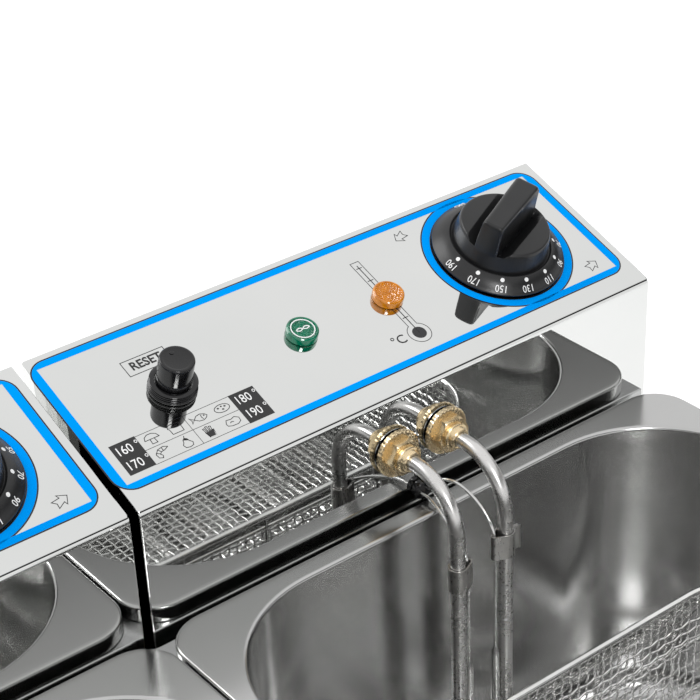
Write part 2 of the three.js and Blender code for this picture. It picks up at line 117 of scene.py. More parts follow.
# ---- Mesh building ----
class Skin:
    """Points and faces of one piece. ink is the material index of the faces added next."""

    def __init__(self):
        self.points, self.faces, self.inks, self.ink = [], [], [], 0

    def add(self, points, faces):
        base = len(self.points)
        self.points += [Vector(p) for p in points]
        self.faces += [[base + i for i in face] for face in faces]
        self.inks += [self.ink] * len(faces)
        return self

    def rows(self, rows, ring=False):
        """Joins closed loops of equal length. Its ends are capped, or joined in a ring."""
        count, n = len(rows), len(rows[0])
        faces = [
            (i * n + k, i * n + (k + 1) % n, (i + 1) % count * n + (k + 1) % n,
             (i + 1) % count * n + k)
            for i in range(count if ring else count - 1) for k in range(n)]
        if not ring:
            faces += [tuple(range(n))[::-1], tuple(range((count - 1) * n, count * n))]
        return self.add([p for row in rows for p in row], faces)

    def turned(self, profile, sides=64, ring=False):
        """A profile of (radius, height) round the Z axis."""
        rows = [[(r * math.cos(a), r * math.sin(a), h)
                 for a in (2 * math.pi * k / sides for k in range(sides))] for r, h in profile]
        return self.rows(rows, ring=ring)

    def sweep(self, path, radius, sides=12, closed=False):
        """A round tube along a path. radius is one number, or one for each point."""
        path = [Vector(p) for p in path]
        n = len(path)
        radii = radius if isinstance(radius, (list, tuple)) else [radius] * n
        ways = []
        for i in range(n):
            before = path[i - 1] if i or closed else path[0]
            after = path[(i + 1) % n] if i < n - 1 or closed else path[-1]
            ways.append((after - before).normalized())
        side = ways[0].orthogonal().normalized()
        rows = []
        for point, way, r in zip(path, ways, radii):
            side = (side - way * side.dot(way)).normalized()
            up = way.cross(side)
            rows.append([point + r * (math.cos(a) * side + math.sin(a) * up)
                         for a in (2 * math.pi * k / sides for k in range(sides))])
        return self.rows(rows, ring=closed)

    def block(self, low, high):
        (x0, y0, z0), (x1, y1, z1) = low, high
        return self.rows([[(x0, y0, z), (x1, y0, z), (x1, y1, z), (x0, y1, z)]
                          for z in (z0, z1)])

    def moved(self, matrix):
        self.points = [matrix @ p for p in self.points]
        return self

    def join(self, other, matrix=Matrix.Identity(4)):
        ink = self.ink
        base = len(self.points)
        self.points += [matrix @ p for p in other.points]
        self.faces += [[base + i for i in face] for face in other.faces]
        self.inks += [i + ink for i in other.inks]
        return self

    def flat(self, loops, low, high):
        """Closed loops of (x, y), holes among them, filled and given a thickness."""
        curve = bpy.data.curves.new("flat", "CURVE")
        curve.dimensions, curve.fill_mode = "2D", "BOTH"
        curve.extrude = (high - low) / 2
        for loop in loops:
            spline = curve.splines.new("POLY")
            spline.points.add(len(loop) - 1)
            spline.use_cyclic_u = True
            for point, (x, y) in zip(spline.points, loop):
                point.co = (x, y, 0, 1)
        return self.from_curve(curve, Matrix.Translation((0, 0, (low + high) / 2)))

    def text(self, words, size, matrix, thickness, fit=1.0, bold=0.0):
        """Words centred on the origin of the matrix, their strokes bold millimetres wider."""
        curve = bpy.data.curves.new("words", "FONT")
        curve.body, curve.size, curve.extrude = words, size, thickness / 2
        curve.align_x, curve.align_y = "CENTER", "CENTER"
        curve.resolution_u, curve.offset = 3, bold / 2
        return self.from_curve(curve, matrix @ Matrix.Diagonal((fit, 1, 1, 1)))

    def from_curve(self, curve, matrix):
        holder = link("holder", curve)
        mesh = bpy.data.meshes.new_from_object(holder)
        self.add([matrix @ v.co for v in mesh.vertices],
                 [tuple(p.vertices) for p in mesh.polygons])
        bpy.data.objects.remove(holder)
        bpy.data.meshes.remove(mesh)
        bpy.data.curves.remove(curve)
        return self

    def mesh(self, name):
        mesh = bpy.data.meshes.new(name)
        mesh.from_pydata([p * MM for p in self.points], [], self.faces)
        mesh.polygons.foreach_set("material_index", self.inks)
        made = bmesh.new()
        made.from_mesh(mesh)
        bmesh.ops.remove_doubles(made, verts=made.verts, dist=1e-6)
        bmesh.ops.recalc_face_normals(made, faces=made.faces)
        made.to_mesh(mesh)
        made.free()
        return mesh


def arc(x, y, radius, start, end, steps=6):
    """Points (x, y) on an arc, its angles in degrees."""
    angles = (math.radians(start + (end - start) * i / steps) for i in range(steps + 1))
    return [(x + radius * math.cos(a), y + radius * math.sin(a)) for a in angles]


def round_box(x0, x1, y0, y1, r, steps=8):
    """A rectangle's outline with round corners, anticlockwise."""
    return (arc(x1 - r, y0 + r, r, -90, 0, steps) + arc(x1 - r, y1 - r, r, 0, 90, steps)
            + arc(x0 + r, y1 - r, r, 90, 180, steps) + arc(x0 + r, y0 + r, r, 180, 270, steps))


def at_height(loop, z):
    return [(x, y, z) for x, y in loop]


def bent(corners, radii, steps=8):
    """A path through corner points, rounded by one radius or by one for each corner."""
    corners = [Vector(c) for c in corners]
    if not isinstance(radii, list):
        radii = [radii] * (len(corners) - 2)
    path = [corners[0]]
    for before, here, after, radius in zip(corners, corners[1:], corners[2:], radii):
        back_, on = (before - here).normalized(), (after - here).normalized()
        half = back_.angle(on) / 2
        reach = radius / math.tan(half)
        centre = here + (back_ + on).normalized() * radius / math.sin(half)
        start = here + back_ * reach - centre
        axis = start.cross(back_).normalized()
        for k in range(steps + 1):
            turn = Matrix.Rotation(-(math.pi - 2 * half) * k / steps, 3, axis)
            path.append(centre + turn @ start)
    return path + [corners[-1]]


def stroke(points, width, closed=False):
    """The outline of a line of this width through points."""
    pts = [Vector(p) for p in points]
    n = len(pts)
    left, right = [], []
    for i, p in enumerate(pts):
        a = pts[i - 1] if i or closed else p
        b = pts[(i + 1) % n] if i < n - 1 or closed else p
        first = (p - a).normalized() if (p - a).length else (b - p).normalized()
        second = (b - p).normalized() if (b - p).length else first
        way = (first + second).normalized()
        out = Vector((-way.y, way.x)) * (width / 2) / max(0.5, way.dot(first))
        left.append(tuple(p + out))
        right.append(tuple(p - out))
    return [left, right] if closed else [left + right[::-1]]


# ---- Pieces ----
def shade(piece, angle=35):
    piece.data.shade_smooth()
    piece.data.set_sharp_from_angle(angle=math.radians(angle))
    normals = piece.modifiers.new("normals", "WEIGHTED_NORMAL")
    normals.keep_sharp = True


def bevel(piece, width, segments=2, angle=40):
    edge = piece.modifiers.new("edges", "BEVEL")
    edge.width, edge.segments = width * MM, segments
    edge.limit_method, edge.angle_limit = "ANGLE", math.radians(angle)
    edge.use_clamp_overlap = True


def dress(piece, looks, body, stands_for):
    for look in looks:
        piece.data.materials.append(look)
    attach(piece, body)
    if stands_for:
        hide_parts(*stands_for)


def unit_piece(name, skin, looks, body, edge=None, angle=35, stands_for=None,
               place=Matrix.Identity(4)):
    """One piece for each unit. It stands for the node of its own name unless told otherwise."""
    mesh = skin.moved(place).mesh(name)
    for side in SIDES:
        made = link(f"{name}_{side}_look", mesh.copy())
        made.location = (UNIT_X[side], FACE_Y, 0)
        if edge:
            bevel(made, edge)
        shade(made, angle)
        nodes = [name] if stands_for is None else stands_for
        dress(made, looks, f"{body}_{side}" if body != "body" else body,
              [f"{node}_{side}" for node in nodes])


def refined(node, look, body, edge=0.3):
    """A piece with the node's own shape, its flat faces whole and its edges rounded."""
    made = bmesh.new()
    made.from_mesh(frame["nodes"][node].data)
    bmesh.ops.remove_doubles(made, verts=made.verts, dist=2e-6)
    bmesh.ops.dissolve_limit(made, angle_limit=math.radians(1), verts=made.verts,
                             edges=made.edges)
    mesh = bpy.data.meshes.new(node)
    made.to_mesh(mesh)
    made.free()
    piece = link(f"{node}_look", mesh)
    bevel(piece, edge)
    shade(piece)
    dress(piece, [look], body, [node])


# ---- Materials ----
def surface(name, color, other, rough, metallic=0.0, grain=(900, 900, 900), relief=0.0,
            patches=40, wave=0.0, sockets=()):
    """A Principled material. color and other mix in soft patches, rough is its (lowest,
    highest) roughness along a fine grain stretched per axis, relief the grain's depth in
    millimetres and wave the depth of a slow unevenness."""
    look = bpy.data.materials.new(name)
    look.use_nodes = True
    nodes, links = look.node_tree.nodes, look.node_tree.links
    shader = nodes["Principled BSDF"]
    place = nodes.new("ShaderNodeTexCoord").outputs["Object"]

    def noise(scale, stretch=(1, 1, 1), detail=4.0):
        mapping = nodes.new("ShaderNodeMapping")
        mapping.inputs["Scale"].default_value = stretch
        links.new(place, mapping.inputs["Vector"])
        made = nodes.new("ShaderNodeTexNoise")
        made.inputs["Scale"].default_value = scale
        made.inputs["Detail"].default_value = detail
        links.new(mapping.outputs["Vector"], made.inputs["Vector"])
        return made.outputs["Fac"]

    def ranged(value, low, high, start=0.3, stop=0.7):
        made = nodes.new("ShaderNodeMapRange")
        for key, number in zip(("From Min", "From Max", "To Min", "To Max"),
                               (start, stop, low, high)):
            made.inputs[key].default_value = number
        links.new(value, made.inputs["Value"])
        return made.outputs["Result"]

    slow, fine = noise(patches), noise(1, grain, 3.0)
    mix = nodes.new("ShaderNodeMix")
    mix.data_type = "RGBA"
    mix.inputs["A"].default_value = (*color, 1)
    mix.inputs["B"].default_value = (*other, 1)
    links.new(ranged(slow, 0, 1), mix.inputs["Factor"])
    links.new(mix.outputs["Result"], shader.inputs["Base Color"])
    both = nodes.new("ShaderNodeMath")
    both.operation = "MULTIPLY_ADD"
    links.new(fine, both.inputs[0])
    both.inputs[1].default_value = 0.7
    links.new(ranged(slow, 0, 0.3), both.inputs[2])
    links.new(ranged(both.outputs["Value"], *rough), shader.inputs["Roughness"])
    shader.inputs["Metallic"].default_value = metallic
    last = None
    for height, depth in ((fine, relief), (noise(9, detail=1.0), wave)):
        if depth:
            bump = nodes.new("ShaderNodeBump")
            bump.inputs["Distance"].default_value = depth * MM
            links.new(height, bump.inputs["Height"])
            if last:
                links.new(last, bump.inputs["Normal"])
            last = bump.outputs["Normal"]
    if last:
        links.new(last, shader.inputs["Normal"])
    for key, number in dict(sockets).items():
        shader.inputs[key].default_value = number
    return look


MIRROR = surface("polished_steel", (0.70, 0.71, 0.70), (0.73, 0.735, 0.725), (0.012, 0.035),
                 1, (1500, 60, 1500), 0.0, 14, 0.006)
SATIN = surface("satin_steel", (0.50, 0.50, 0.495), (0.53, 0.53, 0.525), (0.17, 0.215),
                1, (1500, 1500, 14), 0.00012, 12, 0.012)
SHEET = surface("brushed_sheet", (0.58, 0.585, 0.59), (0.62, 0.62, 0.62), (0.18, 0.26),
                1, (14, 1500, 1500), 0.0002, 12, 0.015)
DULL = surface("mill_steel", (0.42, 0.43, 0.44), (0.5, 0.51, 0.51), (0.35, 0.5),
               1, (300, 300, 300), 0.004, 60)
TUBE_STEEL = surface("element_steel", (0.62, 0.61, 0.60), (0.70, 0.69, 0.68), (0.24, 0.34),
                     1, (900, 900, 900), 0.0003, 55)
WIRE_STEEL = surface("bright_wire", (0.70, 0.70, 0.69), (0.78, 0.78, 0.77), (0.1, 0.2),
                     1, (700, 700, 700), 0.0005, 80)
STRAP = surface("strap_steel", (0.42, 0.41, 0.40), (0.55, 0.54, 0.52), (0.24, 0.36),
                1, (1500, 1500, 200), 0.001, 120)
BRASS = surface("brass", (0.84, 0.69, 0.46), (0.78, 0.60, 0.35), (0.22, 0.32),
                1, (1500, 1500, 1500), 0.0003, 60)
PLASTIC = surface("black_plastic", (0.005, 0.0052, 0.0058), (0.009, 0.0092, 0.01),
                  (0.28, 0.38), 0, (2600, 2600, 2600), 0.014, 90)
RUBBER = surface("black_rubber", (0.004, 0.004, 0.0045), (0.008, 0.008, 0.009),
                 (0.08, 0.16), 0, (1800, 1800, 1800), 0.002, 120)
FOOT = surface("foot_rubber", (0.02, 0.02, 0.021), (0.035, 0.035, 0.036),
               (0.55, 0.75), 0, (900, 900, 900), 0.03, 100)
CERAMIC = surface("white_ceramic", (0.62, 0.60, 0.55), (0.7, 0.69, 0.65), (0.4, 0.6),
                  0, (900, 900, 900), 0.02, 90)
BLUE = surface("blue_ink", (0.0, 0.29, 0.86), (0.0, 0.31, 0.91), (0.3, 0.4), 0,
               (900, 900, 900), 0.0, 30, sockets={"Specular IOR Level": 0.0})
BLACK = surface("black_ink", (0.008, 0.008, 0.009), (0.014, 0.014, 0.015), (0.18, 0.28), 0,
                (900, 900, 900), 0.001, 60)
WHITE = surface("white_ink", (0.82, 0.83, 0.83), (0.88, 0.88, 0.88), (0.3, 0.42), 0,
                (900, 900, 900), 0.001, 60)
LENS_COAT = {"Coat Weight": 0.6, "Coat Roughness": 0.03}
GREEN = surface("green_lens", (0.0, 0.09, 0.045), (0.0, 0.18, 0.095), (0.05, 0.12), 0,
                (700, 700, 700), 0.001, 400,
                sockets={**LENS_COAT, "Emission Color": (0.0, 0.5, 0.25, 1),
                         "Emission Strength": 0.04})
AMBER = surface("amber_lens", (0.42, 0.13, 0.003), (0.66, 0.24, 0.008), (0.05, 0.12), 0,
                (700, 700, 700), 0.001, 400,
                sockets={**LENS_COAT, "Emission Color": (1, 0.36, 0.02, 1),
                         "Emission Strength": 0.04})

# ---- Head casing ----
SHEET_MM, BEND = 1.5, 4.0


def head_case():
    """Front face, bend, panel and two side walls of one folded sheet."""
    low, high = HEAD_LOW, HEAD_HIGH
    centre_z = FRONT_TOP + BEND * math.tan(TILT) - BEND / math.cos(TILT)
    profile = [(0, low.z)] + arc(BEND, centre_z, BEND, 180, 90 + math.degrees(TILT), 12)
    profile += [(high.y, high.z)]
    skin = Skin()
    count = len(profile)
    points = [(x, y, z) for x in (low.x, high.x) for y, z in profile]
    corner = [(x, high.y, low.z) for x in (low.x, high.x)]
    faces = [(i, i + 1, count + i + 1, count + i) for i in range(count - 1)]
    faces += [tuple(range(count))[::-1] + (2 * count,),
              tuple(range(count, 2 * count)) + (2 * count + 1,)]
    return skin.add(points + corner, faces)


def add_head_case():
    skin = head_case()
    mesh = skin.mesh("head_case")
    for side in SIDES:
        piece = link(f"head_case_{side}_look", mesh.copy())
        piece.location = (UNIT_X[side], FACE_Y, 0)
        wall = piece.modifiers.new("wall", "SOLIDIFY")
        wall.thickness, wall.offset, wall.use_even_offset = SHEET_MM * MM, -1, True
        bevel(piece, 0.6, 3)
        shade(piece)
        dress(piece, [MIRROR], f"head_{side}", [f"head_case_{side}"])


# ---- Print on the panel ----
BLUE_INK, BLACK_INK, WHITE_INK = 0, 1, 2
DIAL_AT = turned_at("dial_turn_right")
RESET_AT = on_panel("reset_cap")
GREEN_AT = on_panel("lamp_green")
AMBER_AT = on_panel("lamp_amber")
FRAME_X, FRAME_V = (-135.5, 130.6), (10.3, 82.4)
STRIP_X, STRIP_V = 3.8, 3.1
INK = (0.03, 0.06, 0.09)  # heights of the black outline, the blue and the white print
def oval(x, y, a, b, steps=16):
    return [(x + a * math.cos(2 * math.pi * k / steps), y + b * math.sin(2 * math.pi * k / steps))
            for k in range(steps + 1)]


PICTOGRAMS = (
    # mushroom, loaf, fish, potato / prawn, pear, cup of chips, bean
    [[(-3.1, 0), (-2.5, 1.5), (-1, 2.4), (1, 2.4), (2.5, 1.5), (3.1, 0), (-3.1, 0)],
     [(-0.9, 0), (-1.1, -2.3), (1.1, -2.3), (0.9, 0)]],
    [[(-2.4, -2.1), (-2.5, 0.4), (-3.0, 1.0), (-2.4, 2.2), (-0.7, 2.5), (2.4, 2.2), (3.0, 1.0),
      (2.5, 0.4), (2.4, -2.1), (-2.4, -2.1)], [(-1.2, 1.2), (1.3, 1.2)]],
    [[(-2.1, 0), (-3.7, 1.5), (-3.1, 0), (-3.7, -1.5), (-2.1, 0)],
     [(-2.1, 0), (-0.6, 1.3), (1.3, 1.6), (2.9, 0.9), (3.6, 0), (2.9, -0.9), (1.3, -1.6),
      (-0.6, -1.3), (-2.1, 0)], oval(2.4, 0.4, 0.2, 0.2, 6), [(1.4, 1.1), (1.1, 0), (1.4, -1.1)]],
    [oval(0, 0, 3.3, 1.9), oval(-1.5, 0.5, 0.35, 0.25, 8), oval(0.2, -0.6, 0.35, 0.25, 8),
     oval(1.5, 0.5, 0.35, 0.25, 8), oval(0.1, 0.9, 0.25, 0.2, 8)],
    [[(3.1, 1.6), (1.3, 2.4), (-1.2, 1.9), (-2.9, 0.1), (-2.6, -1.7), (-1.2, -2.3), (-0.7, -1.2),
      (-1.3, -0.4), (-0.4, 0.5), (1.2, 0.7), (3.1, 1.6)], [(-1.2, 1.9), (-0.4, 0.5)],
     [(-2.6, 0.8), (-1.3, -0.2)], [(0.6, 2.3), (0.6, 0.7)]],
    [[(0, 1.9), (-0.9, 1.2), (-1.2, 0.1), (-2.1, -1.0), (-1.6, -2.3), (0, -2.7), (1.6, -2.3),
      (2.1, -1.0), (1.2, 0.1), (0.9, 1.2), (0, 1.9)], [(0, 1.9), (0.5, 2.9)]],
    [[(-1.9, 0.4), (-1.3, -2.5), (1.3, -2.5), (1.9, 0.4), (-1.9, 0.4)],
     [(-1.6, 0.4), (-2.0, 2.1), (-1.3, 2.2), (-1.0, 0.4)], [(-0.6, 0.4), (-0.7, 2.7),
     (0.1, 2.7), (0.1, 0.4)], [(0.5, 0.4), (0.8, 2.4), (1.5, 2.2), (1.2, 0.4)]],
    [[(-3.1, -0.1), (-2.2, 1.5), (-0.2, 1.2), (1.6, 1.8), (3.1, 0.7), (2.9, -1.0), (1.3, -1.9),
      (-1.3, -1.8), (-2.9, -1.2), (-3.1, -0.1)], [(-1.4, -0.3), (-0.7, 0.1), (0.3, -0.2)]],
)
TABLE_X, TABLE_V = (-116.4, -72.6), (16.5, 32.0)
LEFT_BOX = (-128.1, -116.4, 16.5, 32.5)
RIGHT_BOX = (-72.6, -60.6, 16.1, 32.2)
THIN = 0.22


def outlined(skin, loops, black_loops):
    skin.ink = BLACK_INK
    skin.flat(black_loops, 0.01, INK[0])
    skin.ink = BLUE_INK
    skin.flat(loops, 0.01, INK[1])


def panel_print():
    skin = Skin()

    def lines(strokes, at=(0, 0), width=THIN, closed=False, size=1.0):
        for points in strokes:
            moved = [(at[0] + size * x, at[1] + size * y) for x, y in points]
            skin.flat(stroke(moved, width, closed), 0.01, INK[0])

    def words(text, x, v, size, fit=0.85, bold=0.12):
        place = Matrix.Translation((x, v, INK[2]))
        skin.text(text, size, place, 0.02, fit, bold)

    (x0, x1), (v0, v1) = FRAME_X, FRAME_V

    def frame_loops(grow):
        return [round_box(x0 - grow, x1 + grow, v0 - grow, v1 + grow, 8 + grow, 8),
                [(x0 + STRIP_X - grow, v0 + STRIP_V - grow),
                 (x0 + STRIP_X - grow, v1 - STRIP_V + grow),
                 (x1 - STRIP_X + grow, v1 - STRIP_V + grow),
                 (x1 - STRIP_X + grow, v0 + STRIP_V - grow)]]

    def ring_loops(grow):
        return [arc(*DIAL_AT, 34.1 + grow, 0, 357, 119), arc(*DIAL_AT, 30.6 - grow, 0, 357, 119)]

    for loops in (frame_loops, ring_loops):
        outlined(skin, loops(0), loops(0.65))

    skin.ink = BLACK_INK
    for bx0, bx1, bv0, bv1 in (LEFT_BOX, RIGHT_BOX):
        skin.flat([[(bx0, bv0), (bx1, bv0), (bx1, bv1), (bx0, bv1)]], 0.01, INK[0])
    (tx0, tx1), (tv0, tv1) = TABLE_X, TABLE_V
    wide, tall = (tx1 - tx0) / 4, (tv1 - tv0) / 2
    for row in range(3):
        lines([[(tx0, tv0 + row * tall), (tx1, tv0 + row * tall)]])
    lines([[(tx0 + 2 * wide, tv0), (tx0 + 2 * wide, tv1)]])
    for i, drawing in enumerate(PICTOGRAMS):
        column, row = i % 4, i // 4
        lines(drawing, (tx0 + (column + 0.5) * wide, tv1 - (row + 0.5) * tall), 0.32, size=1.05)

    # Frame for the reset button's name, arrows and the thermometer
    lines([[(-101, 59), (-81, 59), (-81, 67), (-101, 67)]], width=0.35, closed=True)
    words("RESET", -91, 63.1, 6.0, 0.92, 0.22)
    words("°C", AMBER_AT[0] - 10.8, 23.5, 6.6, 1.0, 0.0)
    arrow = [(-3.4, 0), (-0.4, 2.9), (-0.4, 1.3), (3.2, 2.0), (2.2, 0), (3.2, -2.0),
             (-0.4, -1.3), (-0.4, -2.9)]
    for x, v, turn in ((48.6, 73.2, 20), (117, 19.1, 200)):
        c, s = math.cos(math.radians(turn)), math.sin(math.radians(turn))
        lines([[(c * a - s * b, s * a + c * b) for a, b in arrow]], (x, v), 0.35, True)
    bulb_x, bulb_v, top_v = AMBER_AT[0], 23.3, 69.5
    skin.flat([arc(bulb_x, bulb_v, 3.2, 0, 350, 35)], 0.01, INK[0])
    opening = 25
    outline = arc(bulb_x, bulb_v, 5.3, 90 + opening, 450 - opening, 40)
    outline += [(bulb_x + 2.25, top_v), (bulb_x - 2.25, top_v)]
    lines([outline], width=0.32, closed=True)
    lines([[(bulb_x, bulb_v), (bulb_x, top_v - 2)]], width=0.45)
    for tick in range(5):
        v = 33 + 8.2 * tick
        lines([[(bulb_x - 1.5, v), (bulb_x + 1.5, v)]], width=0.4)

    skin.ink = WHITE_INK
    for text, x, v in (("160 °", -121.8, 28.2), ("170 °", -121.8, 20.4),
                       ("180 °", -66.1, 28.1), ("190 °", -66.1, 20.3)):
        words(text, x, v, 6.2, 0.82, 0.0)
    return skin


# ---- Dial ----
SKIRT, GROOVE, DRUM, DRUM_TOP, DRUM_EDGE = 30.0, 22.4, 20.4, 16.2, 1.5
BAR_TOP, BAR_REAR, BAR_TURN, BAR_EDGE = 29.7, 17.4, 24.0, 2.2
BAR_HALF = (5.1, 5.9)  # half the grip bar's width at its front and at its rear
FLANK_DEPTH, FLANK_WIDTH = 4.4, 5.6  # the grooves along the bar's two flanks
DIAL_SIDES, DIAL_RINGS = 300, 64
MARK_STEP, LAST_MARK = 25.6, 50


def smooth_step(value, start, stop):
    t = min(max((value - start) / (stop - start), 0.0), 1.0)
    return t * t * (3 - 2 * t)


def dial_top(x, y):
    """Height of the dial's top over a point: a grip bar with a groove along each flank."""
    c, s = math.cos(math.radians(BAR_TURN)), math.sin(math.radians(BAR_TURN))
    along, across = c * x + s * y, abs(c * y - s * x)
    r = math.hypot(x, y)
    past = min(max(r - DRUM + DRUM_EDGE, 0.0) / DRUM_EDGE, 1.0)
    drop = DRUM_EDGE * (1 - math.sqrt(1 - past * past))
    half = BAR_HALF[0] + (BAR_HALF[1] - BAR_HALF[0]) * smooth_step(along, -DRUM, BAR_REAR)
    beside = max(across - half, 0.0)
    groove = FLANK_DEPTH * max(1 - beside / FLANK_WIDTH, 0.0)
    groove *= smooth_step(along, BAR_REAR + 2.0, BAR_REAR - 3.0)
    floor = DRUM_TOP + 0.5 * (1 - (r / DRUM) ** 2) - max(groove, drop)
    side = smooth_step(across, half + 0.4, half - 0.25)
    end = smooth_step(along, BAR_REAR + 0.5, BAR_REAR - 0.2)
    near = max(across - half + BAR_EDGE, 0.0) / BAR_EDGE
    stop = max(along - BAR_REAR + BAR_EDGE, 0.0) / BAR_EDGE
    round_ = min(math.hypot(near, stop), 1.0)
    top = BAR_TOP - BAR_EDGE * (1 - math.sqrt(1 - round_ * round_)) - drop * 0.8
    return floor + (top - floor) * side * end


def dial():
    skin = Skin()
    profile = [(3.4, 14), (3.4, 0.7), (28.6, 0.7), (29.6, 0.9), (SKIRT, 1.5), (29.85, 1.9)]
    profile += [(29.4 - 6.0 * t, 2.15 + 4.6 * t + 0.5 * math.sin(math.pi * t))
                for t in (i / 8 for i in range(9))]
    profile += [(23.1, 6.85), (22.8, 6.6), (GROOVE, 6.0), (21.95, 6.0), (21.7, 6.5),
                (21.5, 8), (21.1, 10.5), (20.7, 12.9), (20.45, 14.4)]
    angles = [2 * math.pi * k / DIAL_SIDES for k in range(DIAL_SIDES)]
    rows = [[(r * math.cos(a), r * math.sin(a), h) for a in angles] for r, h in profile]
    for i in range(DIAL_RINGS):
        r = DRUM * (1 - i / DIAL_RINGS)
        rows.append([(r * math.cos(a), r * math.sin(a),
                      dial_top(r * math.cos(a), r * math.sin(a))) for a in angles])
    skin.rows(rows)
    skin.ink = 1
    slope = math.atan2(4.6, 6.0)

    def mark(angle, radius, lift):
        """A frame on the skirt's slope, its y pointing outwards down the slope."""
        t = (29.4 - radius) / 6.0
        h = 2.15 + 4.6 * t + 0.5 * math.sin(math.pi * min(max(t, 0), 1)) + lift
        return (Matrix.Rotation(math.radians(angle - 90), 4, "Z")
                @ Matrix.Translation((0, radius, h)) @ Matrix.Rotation(-slope, 4, "X"))

    for i in range(8):
        angle = -i * MARK_STEP
        dot = Skin().turned([(0.95, -0.1), (0.95, 0.08), (0.7, 0.13)], 20)
        skin.join(dot, mark(angle, 24.9, 0.0))
        skin.text(str(LAST_MARK + 20 * i), 4.5, mark(angle, 27.9, 0.1), 0.12, 0.86, 0.0)
    skin.text("OFF", 3.9, mark(90, 27.6, 0.1), 0.12, 0.9, 0.1)
    return skin


# ---- Reset button ----
def reset_collar():
    skin = Skin()
    profile = [(7.9, 0.3), (9.8, 0.3), (10.2, 0.7), (10.2, 1.3), (9.8, 1.6), (9.1, 1.75)]
    for h in (2.3, 3.3, 4.3):
        profile += [(9.0, h - 0.5), (9.7, h - 0.25), (9.95, h), (9.7, h + 0.25), (9.0, h + 0.45)]
    profile += [(8.4, 4.95), (7.9, 4.9)]
    return skin.turned(profile, 72, ring=True)


def reset_cap():
    low, high = 3.4, 17.0
    profile = [(2.7, 12), (2.7, low), (7.0, low), (7.3, low + 0.3), (7.3, 6.6), (7.0, 6.9),
               (7.0, 7.3), (7.3, 7.6), (7.3, high - 0.9), (7.15, high - 0.35),
               (6.75, high - 0.05), (6.3, high), (5.5, high - 0.12), (5.2, high - 0.4),
               (0.6, high - 0.45)]
    skin = Skin().turned(profile, 72)
    notch = Skin().turned([(0.9, high - 0.6), (0.9, high - 0.15), (0.7, high - 0.05)], 20)
    return skin.join(notch, Matrix.Translation((0, 3.8, 0)))


# ---- Lamps ----
def lamp(pitch, ring):
    """A pressed lens: a raised rim round a face of small pyramids."""
    radius, height, barrel = 7.0, 3.9, 5.0
    profile = [(barrel, -16), (barrel, 0.3), (6.7, 0.3), (radius, 0.6), (radius, 2.9),
               (6.8, 3.55), (6.35, height), (5.95, 3.7), (5.75, 3.2)]
    skin = Skin().turned(profile, 64)
    steps = 72
    size = 5.9

    def lens(x, y):
        fx, fy = (abs((c / pitch) % 1.0 - 0.5) * 2 for c in (x + y, x - y))
        return 3.1 + 0.42 * min(1, 1.8 * min(fx, fy)) + 0.2 * (1 - (math.hypot(x, y) / size) ** 2)

    points = [(size * (2 * i / steps - 1), size * (2 * j / steps - 1))
              for j in range(steps + 1) for i in range(steps + 1)]
    points = [(x * math.sqrt(1 - y * y / size ** 2 / 2), y * math.sqrt(1 - x * x / size ** 2 / 2))
              for x, y in points]
    n = steps + 1
    top = [(x, y, lens(x, y)) for x, y in points]
    rim = ([i for i in range(n)] + [i * n + n - 1 for i in range(1, n)]
           + [n * n - 1 - i for i in range(1, n)] + [(n - 1 - i) * n for i in range(1, n - 1)])
    base = [(x, y, 2.9) for x, y in (points[i] for i in rim)]
    faces = [(j * n + i, j * n + i + 1, (j + 1) * n + i + 1, (j + 1) * n + i)
             for j in range(steps) for i in range(steps)]
    count = len(rim)
    faces += [(rim[k], n * n + k, n * n + (k + 1) % count, rim[(k + 1) % count])
              for k in range(count)]
    faces.append(tuple(range(n * n, n * n + count)))
    skin.add(top + base, faces)
    if ring:
        skin.ink = 1
        skin.flat([arc(0, 0, 5.3, 0, 354, 59), arc(0, 0, 4.85, 0, 354, 59)], 3.4, 3.74)
        for lift in (0.75, -0.75):
            wave = [(0.22 * i, lift * math.sin(0.22 * i * math.pi / 3.3)) for i in range(-15, 16)]
            skin.flat(stroke(wave, 0.4), 3.4, 3.78)
    return skin


# ---- Tank ----
FLANGE_CORNER, FLANGE_LOW = 18.0, 174.9
TANK_HALF, TANK_Y, TANK_CORNER, TANK_SHEET = 129.0, (-321.0, -15.5), 58.0, 1.2


def tank():
    low, high = span("tank")
    (y0, y1), t = TANK_Y, TANK_SHEET
    top, floor = high.z, low.z + t
    edge, fillet, fold = 1.9, 13.0, 1.3

    def wall(off, z):
        return at_height(round_box(-TANK_HALF - off, TANK_HALF + off, y0 - off, y1 + off,
                                   TANK_CORNER + off, 16), z)

    def brim(off, z):
        return at_height(round_box(low.x - off, high.x + off, low.y - off, high.y + off,
                                   FLANGE_CORNER + off, 16), z)

    rows = [wall(-fillet, floor)]
    rows += [wall(-fillet + fillet * math.sin(a), floor + fillet * (1 - math.cos(a)))
             for a in (math.pi / 2 * i / 8 for i in range(1, 9))]
    rows += [wall(0, top - 40), wall(0, top - edge - 6)]
    rows += [wall(edge * (1 - math.cos(a)), top - edge + edge * math.sin(a))
             for a in (math.pi / 2 * i / 8 for i in range(9))]
    rows += [brim(-3.2, top)]
    rows += [brim(-fold * (1 - math.sin(a)), top - fold * (1 - math.cos(a)))
             for a in (math.pi / 2 * i / 6 for i in range(7))]
    rows += [brim(0, FLANGE_LOW + 0.2), brim(-0.2, FLANGE_LOW), brim(-t, FLANGE_LOW),
             brim(-t, top - t)]
    rows += [wall(edge + 0.4, top - t)]
    rows += [wall(t + (edge - t) * (1 - math.cos(a)), top - edge + (edge - t) * math.sin(a))
             for a in (math.pi / 2 * (1 - i / 5) for i in range(6))]
    rows += [wall(t, floor + fillet)]
    rows += [wall(-fillet + (fillet + t) * math.cos(a), floor + fillet - (fillet + t) * math.sin(a))
             for a in (math.pi / 2 * i / 8 for i in range(1, 9))]
    return Skin().rows(rows)


